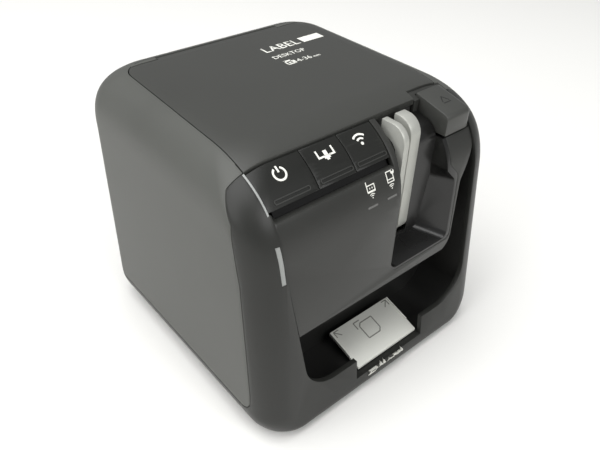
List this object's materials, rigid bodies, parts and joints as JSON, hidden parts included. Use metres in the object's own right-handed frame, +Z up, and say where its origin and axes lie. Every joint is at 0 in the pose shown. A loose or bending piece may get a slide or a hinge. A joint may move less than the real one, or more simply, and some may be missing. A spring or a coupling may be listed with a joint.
{
  "type": "label maker",
  "caption": "Desktop label maker: rounded grey body, hinged cartridge lid, black keys, a tape exit niche, pull-out label tray and battery bay",
  "frame": {"origin": "middle of the footprint, on the surface that the rubber feet stand on", "axes": "+X to the right seen from the front, -Y towards the front panel and the tape exit, +Z up"},
  "size_m": [0.1454, 0.1453, 0.133],
  "materials": {
    "shell_grey": "satin, finely grained",
    "lid_grey": "satin gloss",
    "frame_grey": "gloss",
    "panel_grey": "gloss",
    "niche_black": "gloss",
    "silver_trim": "fine brushed",
    "light_guide": "frosted, translucent look",
    "key_black": "satin",
    "inner_black": "matte",
    "tray_silver": "metallic paint look, satin",
    "board_green": "solder mask",
    "chip_black": "matte",
    "steel": "turned",
    "blade_steel": "ground",
    "roller_rubber": "matte",
    "gear_white": "moulded",
    "pinion_brass": "cut",
    "motor_can": "drawn can",
    "head_ceramic": "glazed",
    "heatsink": "extruded",
    "contact_spring": "plated",
    "battery_black": "matte",
    "socket_black": "matte",
    "socket_metal": "plated",
    "foot_rubber": "matte"
  },
  "bodies": {
    "case": {"main_shell": "shell_grey", "base_cover": "shell_grey", "lid_hinge_ears": "shell_grey", "front_frame": "frame_grey", "front_panel": "panel_grey", "exit_niche": "niche_black", "key_bezel": "niche_black", "exit_guide_left": "silver_trim", "exit_guide_right": "silver_trim", "light_strip_upper": "light_guide", "light_strip_lower": "light_guide", "recess_tub": "inner_black", "tray_runners": "inner_black", "cartridge_bay": "inner_black", "tape_core_post": "inner_black", "key_board": "board_green", "main_board": "board_green", "wireless_module": "board_green", "board_chips": "chip_black", "tact_switches": "chip_black", "head_pivot": "steel", "case_screws": "steel", "fixed_blade": "blade_steel", "drive_motor": "motor_can", "battery_contacts": "contact_spring", "battery_box": "battery_black", "dc_socket": "socket_black", "usb_socket": "socket_metal", "network_socket": "socket_metal", "rubber_feet": "foot_rubber"},
    "lid": {"top_lid": "lid_grey", "lid_hinge_pin": "steel"},
    "open_key": {"open_button": "key_black"},
    "power_key": {"power_button": "key_black"},
    "feed_cut_key": {"feed_cut_button": "key_black"},
    "wireless_key": {"wireless_button": "key_black"},
    "tray": {"tape_tray": "tray_silver"},
    "battery_door": {"battery_cover": "shell_grey", "battery_cover_pin": "steel"},
    "platen": {"platen_shaft": "steel", "platen_roller": "roller_rubber", "platen_gear": "gear_white"},
    "motor_rotor": {"motor_pinion": "pinion_brass", "motor_shaft": "steel"},
    "ribbon": {"ribbon_gear": "gear_white", "ribbon_spindle": "inner_black"},
    "head": {"print_head": "head_ceramic", "head_heatsink": "heatsink", "head_lever": "steel"},
    "screw": {"cutter_screw": "steel"},
    "blade": {"moving_blade": "blade_steel", "blade_carrier": "gear_white"}
  },
  "joints": [
    {"name": "lid_hinge", "type": "hinge", "parent": "case", "child": "lid", "pos_m": [0, 0.0614, 0.1318], "axis": [-1, 0, 0], "range_deg": [0, 85]},
    {"name": "open_press", "type": "slide", "parent": "case", "child": "open_key", "axis": [0, 0, -1], "range_m": [0, 0.001], "stiffness_N_per_m": 900, "springref_m": -0.001},
    {"name": "power_press", "type": "slide", "parent": "case", "child": "power_key", "axis": [0, 0.5902, -0.8073], "range_m": [0, 0.0005], "stiffness_N_per_m": 600, "springref_m": -0.001},
    {"name": "feed_cut_press", "type": "slide", "parent": "case", "child": "feed_cut_key", "axis": [0, 0.5902, -0.8073], "range_m": [0, 0.0005], "stiffness_N_per_m": 600, "springref_m": -0.001},
    {"name": "wireless_press", "type": "slide", "parent": "case", "child": "wireless_key", "axis": [0, 0.5902, -0.8073], "range_m": [0, 0.0005], "stiffness_N_per_m": 600, "springref_m": -0.001},
    {"name": "tray_slide", "type": "slide", "parent": "case", "child": "tray", "axis": [0, -1, 0], "range_m": [0, 0.02]},
    {"name": "battery_door_hinge", "type": "hinge", "parent": "case", "child": "battery_door", "pos_m": [0, 0.0719, 0.0235], "axis": [-1, 0, 0], "range_deg": [0, 90]},
    {"name": "platen_spin", "type": "hinge", "parent": "case", "child": "platen", "pos_m": [0.0117, -0.027, 0.052], "axis": [0, 0, 1], "continuous": true},
    {"name": "motor_spin", "type": "hinge", "parent": "case", "child": "motor_rotor", "pos_m": [-0.00445, -0.027, 0.052], "axis": [0, 0, 1], "continuous": true},
    {"name": "ribbon_spin", "type": "hinge", "parent": "case", "child": "ribbon", "pos_m": [0.0117, -0.00605, 0.052], "axis": [0, 0, 1], "continuous": true},
    {"name": "head_swing", "type": "hinge", "parent": "case", "child": "head", "pos_m": [0.027, -0.013, 0.09], "axis": [0, 0, 1], "range_deg": [0, 4], "stiffness_Nm_per_rad": 0.3, "springref_deg": -2.86},
    {"name": "screw_turn", "type": "hinge", "parent": "case", "child": "screw", "pos_m": [0, -0.037, 0.0636], "axis": [1, 0, 0], "range_deg": [0, 722]},
    {"name": "blade_slide", "type": "slide", "parent": "case", "child": "blade", "axis": [1, 0, 0], "range_m": [0, 0.004]}
  ],
  "couplings": [
    {"joint": "motor_spin", "follows": "platen_spin", "ratio": -2.3333},
    {"joint": "ribbon_spin", "follows": "platen_spin", "ratio": -1.1667},
    {"joint": "screw_turn", "follows": "blade_slide", "rad_per_m": 3141.6}
  ]
}
